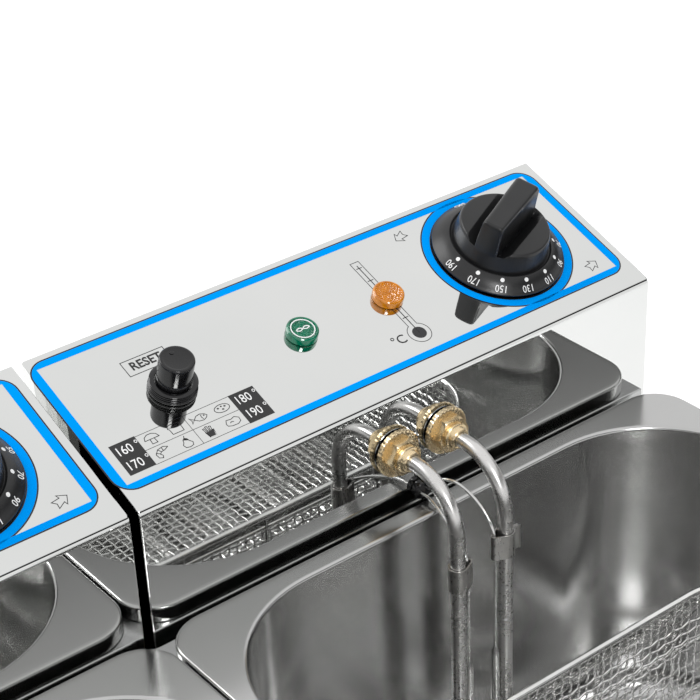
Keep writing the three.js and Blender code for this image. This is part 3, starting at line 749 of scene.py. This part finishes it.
# ---- Heating element and its fittings ----
TUBE_R, TUBE_X, TUBE_Z, DROP_Y = 3.25, 13.0, 208.8, -39.0
DROP_BEND, LOOP_BEND = 24, 20
# Where the element's runs over the tank floor turn
FAR, NEAR, CROSS, INNER, OUTER = -262, -62, -292, 57, 99


def element():
    low, _ = span("element")
    loop = low.z + TUBE_R
    left = [(-TUBE_X, 24, TUBE_Z), (-TUBE_X, DROP_Y, TUBE_Z), (-TUBE_X, DROP_Y, loop),
            (-TUBE_X, FAR, loop), (-INNER, FAR, loop), (-INNER, NEAR, loop),
            (-OUTER, NEAR, loop), (-OUTER, CROSS, loop)]
    right = [(-x, y, z) for x, y, z in reversed(left)]
    corners = left + right
    bends = [DROP_BEND if z == TUBE_Z else LOOP_BEND for _, _, z in corners[1:-1]]
    return Skin().sweep(bent(corners, bends, 12), TUBE_R, 20)


FITTING_FLAT, FITTING_CORNER = 7.35, 8.4


def hexagon(flat, corner, h):
    """A hexagon's outline: half the width across its flats, and its corners' radius."""
    row = []
    for k in range(72):
        a = 2 * math.pi * k / 72
        r = min(flat / math.cos((a % (math.pi / 3)) - math.pi / 6), corner)
        row.append((r * math.cos(a), r * math.sin(a), h))
    return row


def fitting():
    """Along +z here: shank, milled disc, hexagon nut and round collar on the tube."""
    skin = Skin()
    bore = TUBE_R + 0.15
    disc = [(bore, -9), (5, -9), (5, 1.3), (10.4, 1.3), (10.8, 1.6), (10.8, 2.9),
            (10.4, 3.3), (9.2, 3.5), (bore, 3.5)]
    sides = 120
    rows = []
    for r, h in disc:
        row = []
        for k in range(sides):
            a = 2 * math.pi * k / sides
            milled = 0.16 * (k % 4 < 2) if r > 10 else 0
            row.append(((r - milled) * math.cos(a), (r - milled) * math.sin(a), h))
        rows.append(row)
    skin.rows(rows, ring=True)

    inner = [[(bore * math.cos(2 * math.pi * k / 72), bore * math.sin(2 * math.pi * k / 72), h)
              for k in range(72)] for h in (7.8, 3.5)]
    skin.rows([hexagon(FITTING_FLAT, FITTING_CORNER - cut, h)
               for h, cut in ((3.5, 0.5), (3.9, 0), (7.2, 0), (7.8, 0.7))]
              + inner, ring=True)
    skin.turned([(bore, 7.8), (5.9, 7.8), (6.0, 8.1), (6.0, 9.0), (5.7, 9.4), (5.1, 9.7),
                 (4.9, 10.8), (4.6, 11.6), (4.1, 12.0), (bore, 12.0)], 48, ring=True)
    return skin


def washer():
    """A dark gasket under a thin bright washer."""
    skin = Skin().turned([(5.3, 0.3), (9.1, 0.3), (9.4, 0.45), (9.2, 0.65), (5.3, 0.65)],
                         64, True)
    skin.ink = 1
    return skin.turned([(5.3, 0.7), (9.7, 0.7), (9.9, 0.9), (9.7, 1.1), (5.3, 1.1)], 64, True)


BULB_X, CAPILLARY = TUBE_R + 2 + 0.3, 0.75


def flowing(points, steps=7):
    """A smooth path through points."""
    pts = [Vector(p) for p in points]
    pts = [2 * pts[0] - pts[1]] + pts + [2 * pts[-1] - pts[-2]]
    path = []
    for a, b, c, d in zip(pts, pts[1:], pts[2:], pts[3:]):
        for i in range(steps):
            t = i / steps
            path.append(0.5 * (2 * b + (c - a) * t + (2 * a - 5 * b + 4 * c - d) * t * t
                               + (3 * b - a - 3 * c + d) * t ** 3))
    return path + [pts[-2]]


def sensor(inside, outside, x):
    """A capillary from inside the head to its bulb beside the element."""
    path = bent(inside + outside[:1], 4, 5)[:-1] + flowing(outside)
    radii = [CAPILLARY] * len(path)
    low, _ = span("thermostat_sensor")
    bulb = [(x, DROP_Y, z) for z in (119, 118, 116.5, 115, 70, 64, low.z + 0.7, low.z)]
    return (Skin().sweep(path, radii, 10)
            .sweep(bulb, [CAPILLARY, 1.2, 1.8, 2, 2, 2, 1.6, 0.7], 16))


def thermostat_sensor():
    x, z = DIAL_AT[0], GROMMET_Z
    inside = [(x, 57, 217), (x, 57, 196), (1.5, 22, 196), (1.5, 14, z)]
    outside = [(1.5, -4, z), (2.0, -8, z + 6.5), (4.6, -19, z + 9.2), (7.0, -31, z + 2.5),
               (TUBE_X - BULB_X - 0.2, DROP_Y + 0.6, 178), (TUBE_X - BULB_X, DROP_Y, 168),
               (TUBE_X - BULB_X, DROP_Y, 140), (TUBE_X - BULB_X, DROP_Y, 116)]
    return sensor(inside, outside, TUBE_X - BULB_X)


def limiter_sensor():
    x, z = RESET_AT[0], GROMMET_Z
    inside = [(x, 53.5, 224), (x, 53.5, 203), (-2.5, 24, 203), (-2.5, 14, z)]
    outside = [(-2.5, -4, z), (-2.7, -11, z - 0.6), (-4.5, -22, z - 4), (-6.6, -33, z - 9.5),
               (BULB_X - TUBE_X + 0.1, DROP_Y + 0.8, 171), (BULB_X - TUBE_X, DROP_Y, 160),
               (BULB_X - TUBE_X, DROP_Y, 140), (BULB_X - TUBE_X, DROP_Y, 116)]
    return sensor(inside, outside, BULB_X - TUBE_X)


def clip(x, beside, z0, z1, ears):
    """A strip round the tube and the bulb beside it, its ends turned out as two ears."""
    sign = 1 if beside > 0 else -1
    large, small, distance, thick = TUBE_R + 0.35, CAPILLARY + 0.45, abs(beside), 0.6
    angle = math.degrees(math.acos((large - small) / distance))

    def outline(grow):
        return (arc(distance, 0, small + grow, angle, -angle, 10)
                + arc(0, 0, large + grow, 360 - angle, angle, 20))

    skin = Skin().flat([outline(thick), outline(0)], z0, z1)
    if ears:
        skin.rows([[(-large - 0.1, -0.7, z), (-large - 3.6, -0.7, z),
                    (-large - 3.6, -0.1, z), (-large - 0.1, -0.1, z)]
                   for z in (z0, z1)])
        skin.rows([[(-large - 0.1, 0.1, z), (-large - 3.2, 0.1, z), (-large - 3.9, 1.2, z),
                    (-large - 4.2, 0.9, z), (-large - 3.4, 0.7, z), (-large - 0.1, 0.7, z)]
                   for z in (z0, z1)])
    turn = Matrix.Rotation(math.pi if sign < 0 else 0, 4, "Z")
    return skin.moved(Matrix.Translation((x, DROP_Y, 0)) @ turn)


# ---- Grommet and gland ----
GROMMET_LOW, GROMMET_HIGH = span("sensor_grommet")
GROMMET_Z = (GROMMET_LOW.z + GROMMET_HIGH.z) / 2
GROMMET_X = (GROMMET_LOW.x + GROMMET_HIGH.x) / 2
TO_FRONT = Matrix.Rotation(math.pi / 2, 4, "X")  # turns +z to -y


def grommet():
    return Skin().turned([(3.7, -5), (3.8, -4.6), (3.8, 0.3), (4.3, 0.3), (4.5, 0.6), (4.5, 2.4),
                          (4.2, 3.1), (3.7, 3.5), (3.0, 3.5), (2.8, 3.2), (1.4, 3.1)], 40)


GLAND_FLAT, GLAND_CORNER = 9.6, 10.9


def gland():
    _, high = span("cable_gland")
    rear = high.y - HEAD_HIGH.y
    skin = Skin().turned([(3.6, -6), (6.2, -6), (6.2, 0.3), (9.5, 0.3), (9.5, 0.9), (3.6, 0.9)],
                         48, True)
    skin.rows([hexagon(GLAND_FLAT, GLAND_CORNER - cut, h)
               for h, cut in ((0.9, 0.4), (1.3, 0), (4.6, 0), (5, 0.4))])
    profile = [(3.6, 4.5), (8.4, 4.5), (8.5, 5.5), (8.5, 8.5), (8.1, 10.5), (7.2, 12.5),
               (6.2, rear - 0.3), (5.6, rear), (4.4, rear), (3.6, rear - 0.6)]
    rows, sides, knurl = [], 96, 0.3
    for r, h in profile:
        row = []
        for k in range(sides):
            a = 2 * math.pi * k / sides
            cut = r - knurl * (k % 6 < 2) * (8.2 < r)
            row.append((cut * math.cos(a), cut * math.sin(a), h))
        rows.append(row)
    return skin.rows(rows, ring=True)


# ---- Basket ----
WIRE_R, WEAVE = 0.58, 0.5
MESH_PITCH = 4.7


def basket():
    low, high = span("basket")
    x0, x1, y0, y1 = low.x + 2.9, high.x - 2.9, low.y + 2.9, high.y - 2.9
    top, bottom, corner = high.z - 1.9, low.z + 1.6, 36.0
    outline = [Vector(p) for p in round_box(x0, x1, y0, y1, corner, 24)]
    lengths = [0.0]
    loop = outline + outline[:1]
    for a, b in zip(loop, loop[1:]):
        lengths.append(lengths[-1] + (b - a).length)
    count = 2 * round(lengths[-1] / MESH_PITCH / 2)
    around = []
    j = 0
    for i in range(count):
        want = lengths[-1] * i / count
        while lengths[j + 1] < want:
            j += 1
        a, b = loop[j], loop[j + 1]
        t = (want - lengths[j]) / max(lengths[j + 1] - lengths[j], 1e-9)
        way = (b - a).normalized()
        around.append((a.lerp(b, t), Vector((way.y, -way.x))))
    levels = round((top - bottom) / MESH_PITCH)
    heights = [bottom + (top - bottom) * i / levels for i in range(levels + 1)]

    skin = Skin()

    def spot(i, k, phase):
        (p, out), z = around[i], heights[k]
        off = WEAVE * (1 if (i + k + phase) % 2 else -1)
        return (p.x + out.x * off, p.y + out.y * off, z)

    for i in range(count):
        skin.sweep([spot(i, k, 0) for k in range(levels + 1)], WIRE_R, 6)
    for k in range(1, levels):
        skin.sweep([spot(i, k, 1) for i in range(count)], WIRE_R, 6, closed=True)

    def inside_reach(value, lo, hi, other_lo, other_hi):
        """How far a floor wire runs where the outline's corners cut it short."""
        edge = min(value - lo, hi - value)
        cut = corner - math.sqrt(max(corner ** 2 - (corner - edge) ** 2, 0)) if edge < corner else 0
        return other_lo + cut, other_hi - cut

    def floor_wires(lo, hi, other_lo, other_hi, flip, phase):
        wires = round((hi - lo) / MESH_PITCH)
        for i in range(1, wires):
            value = lo + (hi - lo) * i / wires
            start, stop = inside_reach(value, lo, hi, other_lo, other_hi)
            steps = round((other_hi - other_lo) / MESH_PITCH)
            places = [other_lo + (other_hi - other_lo) * k / steps for k in range(steps + 1)]
            path = [(start, 0)] + [(p, k) for k, p in enumerate(places)
                                   if start + 1 < p < stop - 1] + [(stop, 0)]
            points = []
            for p, k in path:
                z = bottom + WEAVE * (1 if (i + k + phase) % 2 else -1)
                points.append((value, p, z) if flip else (p, value, z))
            skin.sweep(points, WIRE_R, 6)

    floor_wires(x0, x1, y0, y1, True, 0)
    floor_wires(y0, y1, x0, x1, False, 1)

    def hoop(off, z, radius, sides=12):
        ring = round_box(x0 - off, x1 + off, y0 - off, y1 + off, corner + off, 16)
        skin.sweep(at_height(ring, z), radius, sides, closed=True)

    hoop(0.9, top, 1.8)
    hoop(0.9, top - 6, 1.3)
    skin.rows([at_height(round_box(x0 - off, x1 + off, y0 - off, y1 + off, corner + off, 16), z)
               for off, z in ((0.9, top - 6), (1.5, top - 6), (1.5, top), (0.9, top))],
              ring=True)
    hoop(-0.2, bottom, 1.3)
    for z in (bottom + 30, bottom + 58):
        hoop(1.5, z, 1.1)
    for x in (-70, -24, 24, 70):
        skin.sweep([(x, y0 - 1.4, top - 1), (x, y0 - 1.4, bottom + 4), (x, y0 + 4, bottom - 0.4),
                    (x, y1 - 4, bottom - 0.4), (x, y1 + 1.4, bottom + 4), (x, y1 + 1.4, top - 1)],
                   1.1, 8)
    return skin


def basket_handle():
    low, high = span("basket_handle")
    level = high.z - 3
    wall = -289.6
    side = [(-25, wall, low.z + 3), (-25, wall, 190), (-10, -330, level),
            (-10, low.y + 3, level)]
    path = bent(side + [(-x, y, z) for x, y, z in reversed(side)], 8, 8)
    skin = Skin().sweep(path, 3, 16)
    for x in (-25, 25):
        end = Skin().turned([(0.8, -3), (2, -2.7), (2.8, -1.8), (3, 0)], 16)
        skin.join(end, Matrix.Translation((x, wall, low.z + 3)))
    return skin


def basket_grip():
    low, high = span("basket_grip")
    rows = []
    length = high.y - low.y
    stations = ([(0, 9), (0.5, 7), (2, 3.6), (5, 1.4), (10, 0.2)]
                + [(14 + 7 * i, 0.9 if i % 2 else 0) for i in range(11)]
                + [(94, 0.3), (98, 1.2), (101, 2.6), (length, 3.4)])
    mid_z, tall = (low.z + high.z) / 2, (high.z - low.z) / 2
    for along, pinch in stations:
        half_x, half_z = high.x - pinch, tall - 0.55 * min(pinch, 7)
        ring = round_box(-half_x, half_x, -half_z, half_z, min(half_z, 6) * 0.95, 6)
        rows.append([(x, low.y + along, mid_z + z) for x, z in ring])
    return Skin().rows(rows)


# ---- Feet and screws ----
def foot(low, high):
    radius, top = (high.x - low.x) / 2 / MM, high.z / MM
    return Skin().turned([(radius - 3.5, 0), (radius - 2.4, 0.5), (radius - 1.8, 2),
                          (radius, top - 3), (radius, top - 0.6), (radius - 0.6, top)], 48)


def screw():
    """A pan head pointing to +z, with a raised black cross as painted shade in place of a cut cross
    recess.
    """
    skin = Skin().turned([(3.4, 0), (3.4, 0.5), (3.0, 1.2), (2.2, 1.7), (0.4, 1.85)], 32)
    # Painted shade: the cross recess is not cut; a black cross in the second material stands in for
    # its shade.
    skin.ink = 1
    for turn in (0, math.pi / 2):
        skin.join(Skin().block((-1.7, -0.3, 1.2), (1.7, 0.3, 1.9)),
                  Matrix.Rotation(turn, 4, "Z"))
    return skin


SCREW_X, SCREW_Z = 126, (150, 240)


def cover_screws():
    skin = Skin()
    for x in (-SCREW_X, SCREW_X):
        for z in SCREW_Z:
            skin.join(screw(), Matrix.Translation((x, HEAD_HIGH.y, z))
                      @ Matrix.Rotation(-math.pi / 2, 4, "X"))
    return skin


# ---- Assembly ----
add_head_case()
unit_piece("panel_print", panel_print(), [BLUE, BLACK, WHITE], "head", place=PANEL,
           stands_for=[])


def at_panel(x, v):
    return PANEL @ Matrix.Translation((x, v, 0))


unit_piece("dial", dial(), [PLASTIC, WHITE], "dial", place=at_panel(*DIAL_AT),
           angle=60)
unit_piece("reset_collar", reset_collar(), [RUBBER], "head",
           place=at_panel(*RESET_AT), angle=60)
unit_piece("reset_cap", reset_cap(), [RUBBER], "reset",
           place=at_panel(*RESET_AT), angle=50)
unit_piece("lamp_green", lamp(1.7, True), [GREEN, WHITE], "head",
           place=at_panel(*GREEN_AT), angle=20)
unit_piece("lamp_amber", lamp(1.9, False), [AMBER], "head",
           place=at_panel(*AMBER_AT), angle=20)
unit_piece("tank", tank(), [SATIN], "tank")
unit_piece("element", element(), [TUBE_STEEL], "head", angle=60)
for end, x in (("a", -TUBE_X), ("b", TUBE_X)):
    at = Matrix.Translation((x, 0, TUBE_Z)) @ TO_FRONT
    unit_piece(f"fitting_{end}", fitting(), [BRASS], "head", place=at)
    unit_piece(f"washer_{end}", washer(), [RUBBER, WIRE_STEEL], "head",
               place=at)
unit_piece("thermostat_sensor", thermostat_sensor(), [WIRE_STEEL], "head",
           angle=60)
unit_piece("limiter_sensor", limiter_sensor(), [WIRE_STEEL], "head", angle=60)
unit_piece("clip_a", clip(-TUBE_X, BULB_X, 160, 171.5, False), [STRAP], "head")
unit_piece("clip_b", clip(TUBE_X, -BULB_X, 165.5, 177, True), [STRAP], "head")
unit_piece("sensor_grommet", grommet(), [RUBBER], "head",
           place=Matrix.Translation((GROMMET_X, 0, GROMMET_Z)) @ TO_FRONT)
gland_low, gland_high = span("cable_gland")
unit_piece("cable_gland", gland(), [PLASTIC], "head",
           place=Matrix.Translation(((gland_low.x + gland_high.x) / 2, HEAD_HIGH.y,
                                     (gland_low.z + gland_high.z) / 2))
           @ Matrix.Rotation(-math.pi / 2, 4, "X"))
# The black plastic on the screws is the painted shade of their cross recesses.
unit_piece("cover_screws", cover_screws(), [WIRE_STEEL, PLASTIC], "head",
           stands_for=[])
unit_piece("basket", basket(), [WIRE_STEEL], "basket", angle=60)
unit_piece("basket_handle", basket_handle(), [WIRE_STEEL], "basket", angle=60)
unit_piece("basket_grip", basket_grip(), [PLASTIC], "basket", edge=0.8)

for side in SIDES:
    for node, look, slot in (("head_base", DULL, "polished_sheet"),
                             ("head_rear_cover", SHEET, "polished_sheet"),
                             ("thermostat", CERAMIC, "white_plastic"),
                             ("limiter", CERAMIC, "white_plastic"),
                             ("terminal_block", CERAMIC, "white_plastic"),
                             ("microswitch", PLASTIC, "black_plastic")):
        refined(f"{node}_{side}", look, f"head_{side}")
refined("body_shell", SHEET, "body", 0.7)
refined("base_plate", DULL, "body")
for end in ("front", "rear"):
    for side in SIDES:
        node = f"foot_{end}_{side}"
        low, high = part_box(node)
        piece = link(f"{node}_look", foot(low, high).mesh(node))
        piece.location = ((low.x + high.x) / 2, (low.y + high.y) / 2, 0)
        shade(piece)
        dress(piece, [FOOT], "body", [node])

# ---- Floor and light ----
FLOOR = surface("floor", (0.86, 0.86, 0.86), (0.9, 0.9, 0.9), (0.6, 0.8), 0, (30, 30, 30),
                0.0, 3, sockets={"Emission Color": (1, 1, 1, 1), "Emission Strength": 0.22})
FLOOR_HALF, FLOOR_LOW, FLOOR_TOP = 9000, -30, -0.4
floor = link("floor", Skin().block((-FLOOR_HALF, -FLOOR_HALF, FLOOR_LOW),
                                   (FLOOR_HALF, FLOOR_HALF, FLOOR_TOP)).mesh("floor"))
floor.data.materials.append(FLOOR)

FORWARD_LEAN = 0.45
world = bpy.data.worlds.new("studio")
world.use_nodes = True
scene.world = world
nodes, links = world.node_tree.nodes, world.node_tree.links
direction = nodes.new("ShaderNodeSeparateXYZ")
links.new(nodes.new("ShaderNodeTexCoord").outputs["Generated"], direction.inputs["Vector"])
lean = nodes.new("ShaderNodeMath")
lean.operation = "MULTIPLY_ADD"
lean.inputs[1].default_value = FORWARD_LEAN
links.new(direction.outputs["Y"], lean.inputs[0])
links.new(direction.outputs["Z"], lean.inputs[2])
# White, but for a dark band low in front, as on the unlit side of a studio. The ramp runs
# over lean from -0.5 to 0.5.
BRIGHT_BELOW, DARK_BAND, BRIGHT_ABOVE, DARKEST = 0.46, (0.53, 0.69), 0.88, 0.012
band = nodes.new("ShaderNodeMapRange")
for key, number in (("From Min", -0.5), ("From Max", 0.5), ("To Min", 0.0), ("To Max", 1.0)):
    band.inputs[key].default_value = number
links.new(lean.outputs["Value"], band.inputs["Value"])
ramp = nodes.new("ShaderNodeValToRGB")
ramp.color_ramp.interpolation = "EASE"
first, last = ramp.color_ramp.elements
first.position, first.color = BRIGHT_BELOW, (1, 1, 1, 1)
last.position, last.color = BRIGHT_ABOVE, (1, 1, 1, 1)
for position in DARK_BAND:
    stop = ramp.color_ramp.elements.new(position)
    stop.color = (DARKEST, DARKEST, DARKEST, 1)
links.new(band.outputs["Result"], ramp.inputs["Fac"])
sky = nodes["Background"]
sky.inputs["Color"].default_value = (1, 1, 1, 1)
links.new(ramp.outputs["Color"], sky.inputs["Strength"])


def softbox(name, place, aim, size, power):
    lamp_ = bpy.data.lights.new(name, "AREA")
    lamp_.shape, lamp_.size, lamp_.size_y, lamp_.energy = "RECTANGLE", *size, power
    made = link(name, lamp_)
    made.location = place
    made.rotation_euler = (Vector(aim) - Vector(place)).to_track_quat("-Z", "Y").to_euler()


softbox("key", (-0.6, 1.4, 1.5), (0, 0, 0.1), (1.0, 1.0), 12)
softbox("front", (-0.3, -1.1, 1.2), (0.1, 0.15, 0.2), (0.4, 0.4), 8)
